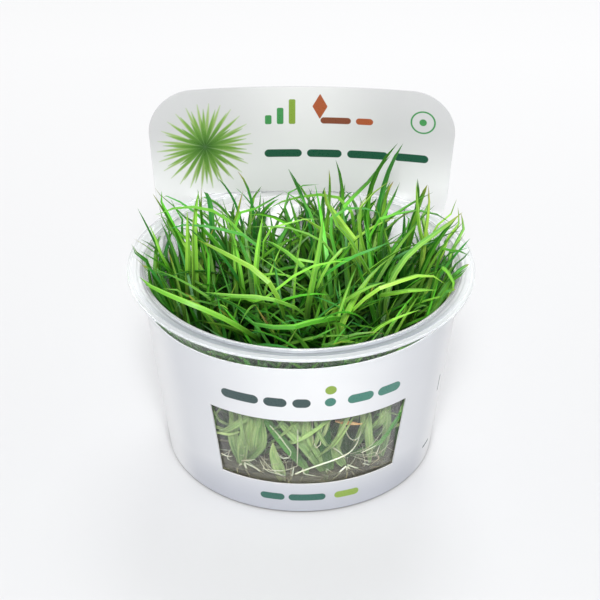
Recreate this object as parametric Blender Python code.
"""A tissue culture cup: a clear tub in a card sleeve with a standing header,
filled with small grass-like water plants that grow in a layer of gel.

Metres, +Z up. The tub stands on z = 0 with its axis on the Z axis, the window
of the sleeve faces -Y and the header stands at +Y.
"""

import math
import random

import bmesh
import bpy
import numpy as np
from mathutils import Matrix, Vector

MM = 0.001
GAP = 0.3 * MM

# The sleeve's outside is a cone: its radius at the table and at the band's top.
CONE_FOOT_RADIUS = 39.9 * MM
CONE_TOP_RADIUS = 45.9 * MM
BAND_FOOT = 0.8 * MM
BAND_TOP = 54.2 * MM
CARD = 0.4 * MM

# The card sits a little askew, so the band's top edge tilts and sags, but not at the header's legs.
EDGE_TILT = 1.3 * MM
EDGE_SAG = 0.9 * MM
EDGE_DROP = 0.1 * MM
EDGE_FADE_START = math.radians(90)
EDGE_FADE_END = math.radians(120)

# Window in the band, between two heights, a little wider at its top.
WINDOW_FOOT = 11.4 * MM
WINDOW_TOP = 35.6 * MM
WINDOW_HALF_ANGLE = math.radians(37.6)
WINDOW_FLARE = 0.027
WINDOW_TURN = math.radians(3.8)

# Header: a gently curved panel on two legs, with a slot between them.
HEADER_MIDDLE_Y = 42.6 * MM
HEADER_CURVE_RADIUS = 180 * MM
HEADER_TOP = 96.0 * MM
HEADER_CORNER = 13.0 * MM
HEADER_HALF_WIDTHS = ((BAND_TOP, 43.4 * MM), (61 * MM, 44.8 * MM), (83 * MM, 46 * MM))
SLOT_HALF_WIDTH = 30.8 * MM
SLOT_TOP = 60.8 * MM
LEG_BEND_START = 40 * MM
LEG_BEND_END = 57 * MM
BULGE_INSIDE = 16 * MM
BULGE_OUTSIDE = 55 * MM

# The sleeve's mesh: its columns across half the back, and its rows between the window and the header's top.
BACK_SHARES_IN_SLOT = (0, 0.17, 0.34, 0.52)
BACK_SHARES_OF_LEG = (0.77, 0.86, 0.94, 1.0)
WINDOW_COLUMNS = 12
RIGHT_COLUMNS = 12
LEFT_COLUMNS = 13
UPPER_BAND_ROWS = (42 * MM, 48 * MM)
PLAIN_HEADER_ROWS = (68 * MM, 76 * MM)
CORNER_ROW_ANGLES = (22.5, 45, 67.5, 90)

# Tub. The rim's profile runs from under the rim, round its outer bead and over its moat to the inner bead.
TUB_WALL = 0.7 * MM
TUB_FLOOR = 0.8 * MM
TUB_FOOT_CORNER = 1.0 * MM
TUB_FOOT_ROUND = 0.2 * MM
TUB_WALL_FOOT = 1.2 * MM
TUB_WALL_TOP = 57.8 * MM
TUB_INSIDE_FOOT = 1.8 * MM
TUB_INSIDE_CORNER = 1.0 * MM
TUB_STEPS = 56
RIM_PROFILE = (
    # radius and height in mm
    (46.3, 58.9),
    (47.0, 59.0),
    (47.8, 59.5),
    (49.2, 59.1),
    (49.8, 59.1),
    (50.0, 59.5),
    (49.8, 60.2),
    (48.6, 60.5),
    (47.6, 60.2),
    (46.9, 59.8),
    (46.1, 59.8),
    (45.7, 60.4),
    (45.2, 60.4),
)

# Gel.
GEL_FOOT = TUB_FLOOR + GAP
GEL_FOOT_CORNER = 1.6 * MM
GEL_SHOULDER = 2.4 * MM
GEL_TOP = 13.6 * MM
GEL_STEPS = 48

# Plantlets: rings of crowns on the gel, as radius, number and starting angle.
CROWN_RINGS = (
    (0.0, 1, 0.0),
    (14.5 * MM, 6, math.radians(15)),
    (29.5 * MM, 12, math.radians(4)),
)
CROWN_RADIUS = 2.2 * MM
CROWN_JITTER = 1.2 * MM
LEAF_HALF_WIDTH = 1.05 * MM
LEAF_KEEL = 0.75 * MM
LEAF_STEPS = 6
LEAF_CLEARANCE = 0.35 * MM
LEAF_WIDTH_SHARES = (0.0, 0.2, 0.45, 0.75, 0.9, 1.0)
LEAF_WIDTHS = (0.6, 0.95, 1.0, 0.72, 0.42, 0.06)
BALLS_EACH = 40
NEAR_CROWN = 0.3
SEED = 11

# How a leaf leaves its base and comes down to its tip, as shares of its length and of its reach.
RISE_UP = 0.42
RISE_OUT = 0.08
FALL_DOWN = 0.28
FALL_BACK = 0.3

# Where leaves may be: inside the wall, inside the rim's bead, inside the tub's own radius.
WALL_LIMIT_TOP = 58 * MM
RIM_LIMIT_TOP = 61.3 * MM
RIM_LIMIT_RADIUS = 44.4 * MM
OUTER_LIMIT = 50 * MM
ABOVE_GEL = 2 * MM

# Ordinary leaves: their reach and height in mm and how much they bend over, from and to.
INNER_LEAF = {"reach": (4, 13), "height": (70, 81), "bend": (0.0, 0.2)}
SIDE_LEAF = {"reach": (8, 22), "height": (58, 76), "bend": (0.1, 0.45)}
TUFT_SPREAD = 1.18
TUFT_DROP = 9 * MM
HEADING_SPREAD = 0.5
TRIES_EACH = 80

# Tips of the leaves that reach furthest, with how much each one bends over.
LONG_LEAVES = (
    (-43, 10, 77, 0.05),
    (-47, 5, 75, 0.0),
    (-48.5, -2, 66.5, 0.1),
    (-45, -8, 63.5, 0.25),
    (-45.5, -18, 62.8, 0.3),
    (-29, 12, 78, 0.0),
    (-29, 22, 71, 0.3),
    (-25, 22, 76, 0.1),
    (-19, 25, 76.5, 0.1),
    (-4, 22, 79, 0.05),
    (8, 22, 79, 0.1),
    (10, 26, 80, 0.0),
    (30, 29, 84, 0.0),
    (28, 23, 87, 0.0),
    (27, 20, 76, 0.15),
    (34, 20, 77, 0.0),
    (37, 20, 75, 0.15),
    (46, 9, 71.5, 0.05),
    (46.5, 2, 73, 0.0),
    (48.4, -1, 69, 0.1),
    (48.3, -5, 67.5, 0.05),
    (48, -9, 65, 0.3),
    (46.5, -13, 66, 0.1),
    (44.5, -20, 63, 0.3),
)
LONG_LEAF_LEAN = 0.72
LONG_LEAF_TRIES = 60
LONG_LEAF_NUDGE = 0.05 * MM


def cone_radius(height):
    """Outer radius of the sleeve's band at a height."""
    share = height / BAND_TOP
    return CONE_FOOT_RADIUS + (CONE_TOP_RADIUS - CONE_FOOT_RADIUS) * share


def tub_inside_radius(height):
    return cone_radius(height) - CARD - GAP - TUB_WALL


def header_y(x):
    return HEADER_MIDDLE_Y - x * x / (2 * HEADER_CURVE_RADIUS)


def smooth(value):
    """0 below 0, 1 above 1 and a soft step between."""
    value = min(max(value, 0.0), 1.0)
    return value * value * (3 - 2 * value)


def clear_scene():
    for obj in list(bpy.data.objects):
        bpy.data.objects.remove(obj, do_unlink=True)


def make_material(name, colour, roughness, transmission=0.0, ior=1.45):
    material = bpy.data.materials.new(name)
    material.use_nodes = True
    shader = material.node_tree.nodes["Principled BSDF"]
    shader.inputs["Base Color"].default_value = (*colour, 1)
    shader.inputs["Roughness"].default_value = roughness
    shader.inputs["Metallic"].default_value = 0.0
    shader.inputs["Transmission Weight"].default_value = transmission
    shader.inputs["IOR"].default_value = ior
    material.diffuse_color = (*colour, 1)
    return material


def add_object(name, bm, material, smooth_angle=40):
    bmesh.ops.recalc_face_normals(bm, faces=bm.faces)
    mesh = bpy.data.meshes.new(name)
    bm.to_mesh(mesh)
    bm.free()
    mesh.shade_smooth()
    mesh.set_sharp_from_angle(angle=math.radians(smooth_angle))
    mesh.materials.append(material)
    obj = bpy.data.objects.new(name, mesh)
    bpy.context.scene.collection.objects.link(obj)
    return obj


def turned(profile, steps):
    """A bmesh turned round Z from (radius, height) points that start and end on the axis."""
    bm = bmesh.new()
    points = [bm.verts.new((radius, 0, height)) for radius, height in profile]
    for first, second in zip(points, points[1:]):
        bm.edges.new((first, second))
    bmesh.ops.spin(
        bm,
        geom=bm.verts[:] + bm.edges[:],
        axis=(0, 0, 1),
        cent=(0, 0, 0),
        angle=2 * math.pi,
        steps=steps,
        use_merge=True,
        use_duplicate=False,
    )
    bmesh.ops.remove_doubles(bm, verts=bm.verts, dist=1e-6)
    return bm


def make_tub(material):
    outside = cone_radius(0) - CARD - GAP
    wall_top_outside = cone_radius(TUB_WALL_TOP) - CARD - GAP
    profile = [
        (0, 0),
        (outside - TUB_FOOT_CORNER, 0),
        (outside - TUB_FOOT_ROUND, TUB_WALL_FOOT * 0.3),
        (cone_radius(TUB_WALL_FOOT) - CARD - GAP, TUB_WALL_FOOT),
        (wall_top_outside, TUB_WALL_TOP),
    ]
    profile += [(radius * MM, height * MM) for radius, height in RIM_PROFILE]
    profile += [
        (wall_top_outside - TUB_WALL, TUB_WALL_TOP),
        (tub_inside_radius(TUB_INSIDE_FOOT), TUB_INSIDE_FOOT),
        (tub_inside_radius(TUB_INSIDE_FOOT) - TUB_INSIDE_CORNER, TUB_FLOOR),
        (0, TUB_FLOOR),
    ]
    return add_object("cup", turned(profile, TUB_STEPS), material)


def make_gel(material):
    profile = [
        (0, GEL_FOOT),
        (tub_inside_radius(GEL_FOOT) - GEL_FOOT_CORNER, GEL_FOOT),
        (tub_inside_radius(GEL_SHOULDER) - GAP, GEL_SHOULDER),
        (tub_inside_radius(GEL_TOP) - GAP, GEL_TOP),
        (0, GEL_TOP),
    ]
    return add_object("nutrient_gel", turned(profile, GEL_STEPS), material)


def header_half_width(height):
    """Half the header's width: its straight flared sides, then its round top corners."""
    heights = [row[0] for row in HEADER_HALF_WIDTHS]
    widths = [row[1] for row in HEADER_HALF_WIDTHS]
    width = float(np.interp(height, heights, widths))
    above = height - (HEADER_TOP - HEADER_CORNER)
    if above > 0:
        width -= HEADER_CORNER - math.sqrt(max(HEADER_CORNER**2 - above**2, 0.0))
    return width


def band_point(angle, height):
    """A point of the band: on the cone, pushed out to the header's legs at the back."""
    radius = cone_radius(height)
    turn = abs(angle) / math.pi
    along = (1 - turn) * math.pi * CONE_TOP_RADIUS
    side = 1 if angle >= 0 else -1
    point = Vector((radius * math.sin(angle), -radius * math.cos(angle), height))
    if along < SLOT_HALF_WIDTH:
        share = smooth((along - BULGE_INSIDE) / (SLOT_HALF_WIDTH - BULGE_INSIDE))
    else:
        leg_edge = HEADER_HALF_WIDTHS[0][1]
        share = smooth((BULGE_OUTSIDE - along) / (BULGE_OUTSIDE - leg_edge))
    share *= smooth((height - LEG_BEND_START) / (LEG_BEND_END - LEG_BEND_START))
    leg = min(max(along, SLOT_HALF_WIDTH), HEADER_HALF_WIDTHS[0][1])
    leg_angle = leg / CONE_TOP_RADIUS
    push_x = leg - radius * math.sin(leg_angle)
    push_y = header_y(leg) - radius * math.cos(leg_angle)
    return point + share * Vector((side * push_x, push_y, 0))


def band_height(angle, height):
    """Spreads the rows above the window up to the band's askew top edge."""
    across = math.sin(angle)
    shift = EDGE_TILT * across - EDGE_SAG * across**2 - EDGE_DROP
    shift *= smooth((EDGE_FADE_END - abs(angle)) / (EDGE_FADE_END - EDGE_FADE_START))
    return height + shift * max(height - WINDOW_TOP, 0.0) / (BAND_TOP - WINDOW_TOP)


def window_angle(angle, height):
    """Slants the columns by the window, so that it is wider at its top."""
    away = angle - WINDOW_TURN
    middle = (WINDOW_FOOT + WINDOW_TOP) / 2
    up = min(max((height - middle) / (WINDOW_TOP - middle), -1.0), 1.0)
    fade = smooth(2 - abs(away) / WINDOW_HALF_ANGLE)
    return angle + away * WINDOW_FLARE * up * fade


def spaced(start, end, steps):
    return [start + (end - start) * step / steps for step in range(steps + 1)]


def make_sleeve(material):
    leg_angle = HEADER_HALF_WIDTHS[0][1] / CONE_TOP_RADIUS
    slot_share = SLOT_HALF_WIDTH / header_half_width(SLOT_TOP)
    half = [*BACK_SHARES_IN_SLOT, slot_share, *BACK_SHARES_OF_LEG]
    shares = [-share for share in reversed(half[1:])] + half
    back = [math.pi - share * leg_angle for share in reversed(shares)]
    window_start = WINDOW_TURN - WINDOW_HALF_ANGLE
    window_end = WINDOW_TURN + WINDOW_HALF_ANGLE
    window = spaced(window_start, window_end, WINDOW_COLUMNS)
    right = spaced(window_end, math.pi - leg_angle, RIGHT_COLUMNS)[1:-1]
    left = spaced(math.pi + leg_angle, 2 * math.pi + window_start, LEFT_COLUMNS)[1:-1]
    angles = [*window, *right, *back, *left]
    band_rows = [BAND_FOOT, WINDOW_FOOT, WINDOW_TOP, *UPPER_BAND_ROWS, BAND_TOP]
    corner_foot = HEADER_TOP - HEADER_CORNER
    corner_rows = [
        corner_foot + HEADER_CORNER * math.sin(math.radians(step))
        for step in CORNER_ROW_ANGLES
    ]
    header_rows = [LEG_BEND_END, SLOT_TOP, *PLAIN_HEADER_ROWS, corner_foot, *corner_rows]

    bm = bmesh.new()
    ring = bmesh.ops.create_circle(bm, cap_ends=False, segments=len(angles), radius=1)
    row = ring["verts"]
    edges = bm.edges[:]
    for height in band_rows:
        for vert, angle in zip(row, angles):
            centred = angle if angle <= math.pi else angle - 2 * math.pi
            slanted = window_angle(centred, height)
            vert.co = band_point(slanted, band_height(centred, height))
        if height < BAND_TOP:
            row, edges = extrude_row(bm, row, edges)
    first = len(window) + len(right)
    row = row[first : first + len(back)]
    header_edges = [edge for edge in edges if all(vert in row for vert in edge.verts)]
    for height in header_rows:
        row, header_edges = extrude_row(bm, row, header_edges)
        half_width = header_half_width(height)
        for vert, share in zip(row, reversed(shares)):
            x = share * half_width
            vert.co = (x, header_y(x), height)
    cut_faces(bm, in_window)
    cut_faces(bm, in_slot)
    loose = [vert for vert in bm.verts if not vert.link_faces]
    bmesh.ops.delete(bm, geom=loose, context="VERTS")
    bmesh.ops.recalc_face_normals(bm, faces=bm.faces)
    bmesh.ops.solidify(bm, geom=bm.faces[:], thickness=CARD)
    return add_object("sleeve", bm, material, 60)


def extrude_row(bm, row, edges):
    """Extrudes a row of edges and gives the new row in the old one's order."""
    made = bmesh.ops.extrude_edge_only(bm, edges=edges)["geom"]
    new_edges = [item for item in made if isinstance(item, bmesh.types.BMEdge)]
    new_verts = {item for item in made if isinstance(item, bmesh.types.BMVert)}
    new_row = []
    for vert in row:
        found = [edge.other_vert(vert) for edge in vert.link_edges]
        new_row.append(next(other for other in found if other in new_verts))
    return new_row, new_edges


def in_window(centre):
    angle = math.atan2(centre.x, -centre.y) - WINDOW_TURN
    between = WINDOW_FOOT < centre.z < WINDOW_TOP
    return between and abs(angle) < WINDOW_HALF_ANGLE


def in_slot(centre):
    between = BAND_TOP < centre.z < SLOT_TOP
    return between and abs(centre.x) < SLOT_HALF_WIDTH - 0.5 * MM and centre.y > 0


def cut_faces(bm, inside):
    cut = [face for face in bm.faces if inside(face.calc_center_median())]
    bmesh.ops.delete(bm, geom=cut, context="FACES")


def leaf_width(along):
    """Half a leaf's width at a share of its length."""
    return LEAF_HALF_WIDTH * float(np.interp(along, LEAF_WIDTH_SHARES, LEAF_WIDTHS))


def leaf_points(base, tip, bend, count):
    """Points along a leaf that starts upwards at its base and bends over towards its tip."""
    length = (tip - base).length
    outwards = Vector((tip.x - base.x, tip.y - base.y, 0))
    rise = Vector((0, 0, length * RISE_UP)) + outwards * RISE_OUT
    fall = Vector((0, 0, length * (bend - FALL_DOWN))) - outwards * FALL_BACK
    controls = [base, base + rise, tip + fall, tip]
    points = []
    for step in range(count + 1):
        share = step / count
        row = controls
        while len(row) > 1:
            row = [a.lerp(b, share) for a, b in zip(row, row[1:])]
        points.append(row[0])
    return points


def inside_limits(points):
    """True if a leaf stays off the tub's wall, the rim and the header."""
    count = len(points) - 1
    for step, point in enumerate(points):
        width = leaf_width(step / count)
        radius = math.hypot(point.x, point.y) + width
        if point.z < WALL_LIMIT_TOP and radius > tub_inside_radius(point.z) - GAP:
            return False
        if WALL_LIMIT_TOP <= point.z < RIM_LIMIT_TOP + width and radius > RIM_LIMIT_RADIUS:
            return False
        if radius > OUTER_LIMIT or point.z < GEL_TOP + ABOVE_GEL:
            return False
        behind = header_y(point.x) - CARD - 2 * GAP
        if point.z > WALL_LIMIT_TOP and point.y + width > behind:
            return False
    return True


class Thicket:
    """The leaves placed so far, as balls along their lengths, for keeping new ones clear."""

    def __init__(self):
        self.balls = np.empty((0, 4))
        self.owners = np.empty(0, int)
        self.shares = np.empty(0)

    def is_clear(self, balls, shares, owner):
        if len(self.balls) == 0:
            return True
        away = np.linalg.norm(balls[:, None, :3] - self.balls[None, :, :3], axis=2)
        room = balls[:, None, 3] + self.balls[None, :, 3] + LEAF_CLEARANCE
        same = self.owners[None, :] == owner
        near_crown = (shares[:, None] < NEAR_CROWN) & (self.shares[None, :] < NEAR_CROWN)
        return not np.any((away < room) & ~(same & near_crown))

    def add(self, balls, shares, owner):
        self.balls = np.vstack([self.balls, balls])
        self.owners = np.append(self.owners, np.full(len(balls), owner))
        self.shares = np.append(self.shares, shares)


def leaf_balls(base, tip, bend):
    points = leaf_points(base, tip, bend, BALLS_EACH)
    shares = np.linspace(0, 1, BALLS_EACH + 1)
    balls = np.array([(*point, leaf_width(share)) for point, share in zip(points, shares)])
    return points, balls, shares


def grow_leaf(bm, face, base, tip, bend):
    """Extrudes a three-sided leaf from a crown's face along its curve to a point."""
    points = leaf_points(base, tip, bend, LEAF_STEPS)
    outwards = Vector((tip.x - base.x, tip.y - base.y, 0))
    side = Vector((-outwards.y, outwards.x, 0)).normalized()
    for step in range(1, LEAF_STEPS + 1):
        face = bmesh.ops.extrude_discrete_faces(bm, faces=[face])["faces"][0]
        if step == LEAF_STEPS:
            bmesh.ops.pointmerge(bm, verts=face.verts[:], merge_co=points[step])
            return
        along = (points[step + 1] - points[step - 1]).normalized()
        under = side.cross(along)
        width = leaf_width(step / LEAF_STEPS)
        keel = LEAF_KEEL * width / LEAF_HALF_WIDTH
        section = [
            points[step] - side * width,
            points[step] + under * keel,
            points[step] + side * width,
        ]
        verts = face.verts[:]
        shift = min(
            range(3),
            key=lambda turn: sum(
                (vert.co - section[(index + turn) % 3]).length
                for index, vert in enumerate(verts)
            ),
        )
        for index, vert in enumerate(verts):
            vert.co = section[(index + shift) % 3]


def make_crown(centre, turn):
    """A small faceted bulb, and its upward faces as leaf bases."""
    bm = bmesh.new()
    place = Matrix.Translation(centre) @ Matrix.Rotation(turn, 4, "Z")
    bmesh.ops.create_icosphere(bm, subdivisions=1, radius=CROWN_RADIUS, matrix=place)
    faces = [face for face in bm.faces if face.normal.z > 0.05]
    faces.sort(key=lambda face: (face.normal.z < 0.5, face.calc_center_median().to_tuple(6)))
    return bm, faces


def crown_centres(chance):
    centres = []
    for radius, count, start in CROWN_RINGS:
        for index in range(count):
            angle = start + 2 * math.pi * index / count
            x = radius * math.cos(angle) + chance.uniform(-1, 1) * CROWN_JITTER
            y = radius * math.sin(angle) + chance.uniform(-1, 1) * CROWN_JITTER
            centres.append(Vector((x, y, GEL_TOP + GAP + CROWN_RADIUS)))
    return centres


def pick_tip(chance, face_middle, crown, is_inner):
    """A tip for an ordinary leaf: upright from the top of a crown, leaning from its side."""
    away = Vector((face_middle.x - crown.x, face_middle.y - crown.y, 0))
    angle = math.atan2(away.y, away.x) + chance.uniform(-HEADING_SPREAD, HEADING_SPREAD)
    ranges = INNER_LEAF if is_inner else SIDE_LEAF
    reach = chance.uniform(*ranges["reach"]) * MM
    height = chance.uniform(*ranges["height"]) * MM
    bend = chance.uniform(*ranges["bend"])
    x = crown.x * TUFT_SPREAD + reach * math.cos(angle)
    y = crown.y * TUFT_SPREAD + reach * math.sin(angle)
    height -= TUFT_DROP * (math.hypot(x, y) / OUTER_LIMIT) ** 2
    return Vector((x, y, height)), bend


def make_plantlets(material):
    chance = random.Random(SEED)
    thicket = Thicket()
    plants = []
    for centre in crown_centres(chance):
        bm, faces = make_crown(centre, chance.uniform(0, 1.2))
        plants.append({"bm": bm, "centre": centre, "faces": faces, "leaves": []})

    def try_leaf(number, face, tip, bend):
        base = face.calc_center_median()
        points, balls, shares = leaf_balls(base, tip, bend)
        if not inside_limits(points) or not thicket.is_clear(balls, shares, number):
            return False
        thicket.add(balls, shares, number)
        plants[number]["leaves"].append((face, base, tip, bend))
        plants[number]["faces"].remove(face)
        return True

    def place_long(tip, bend):
        order = sorted(
            range(len(plants)),
            key=lambda number: (plants[number]["centre"].xy - tip.xy * LONG_LEAF_LEAN).length,
        )
        for attempt in range(LONG_LEAF_TRIES):
            nudge = Vector([chance.uniform(-1, 1) for _ in range(3)]) * (attempt * LONG_LEAF_NUDGE)
            for number in order[:3]:
                towards = (tip.xy - plants[number]["centre"].xy).normalized()
                faces = sorted(
                    plants[number]["faces"],
                    key=lambda face: -face.normal.xy.normalized().dot(towards),
                )
                if any(try_leaf(number, face, tip + nudge, bend) for face in faces[:2]):
                    return
        print("no room for the long leaf at", tuple(round(value / MM) for value in tip))

    for x, y, z, bend in LONG_LEAVES:
        place_long(Vector((x, y, z)) * MM, bend)
    for number, plant in enumerate(plants):
        for face in list(plant["faces"]):
            for _ in range(TRIES_EACH):
                is_inner = face.normal.z > 0.5
                middle = face.calc_center_median()
                tip, bend = pick_tip(chance, middle, plant["centre"], is_inner)
                if try_leaf(number, face, tip, bend):
                    break
    for number, plant in enumerate(plants, 1):
        for face, base, tip, bend in plant["leaves"]:
            grow_leaf(plant["bm"], face, base, tip, bend)
        add_object(f"plantlet_{number:02d}", plant["bm"], material, 180)
    total = sum(len(plant["leaves"]) for plant in plants)
    print(len(plants), "plantlets with", total, "leaves")


def main():
    clear_scene()
    clear_plastic = make_material("clear_plastic", (0.96, 0.97, 0.98), 0.05, 0.95, 1.49)
    white_card = make_material("white_card", (0.90, 0.91, 0.93), 0.38)
    gel = make_material("gel", (0.80, 0.79, 0.70), 0.1, 0.7, 1.34)
    leaf_green = make_material("leaf_green", (0.17, 0.42, 0.05), 0.42)
    make_tub(clear_plastic)
    make_sleeve(white_card)
    make_gel(gel)
    make_plantlets(leaf_green)


main()
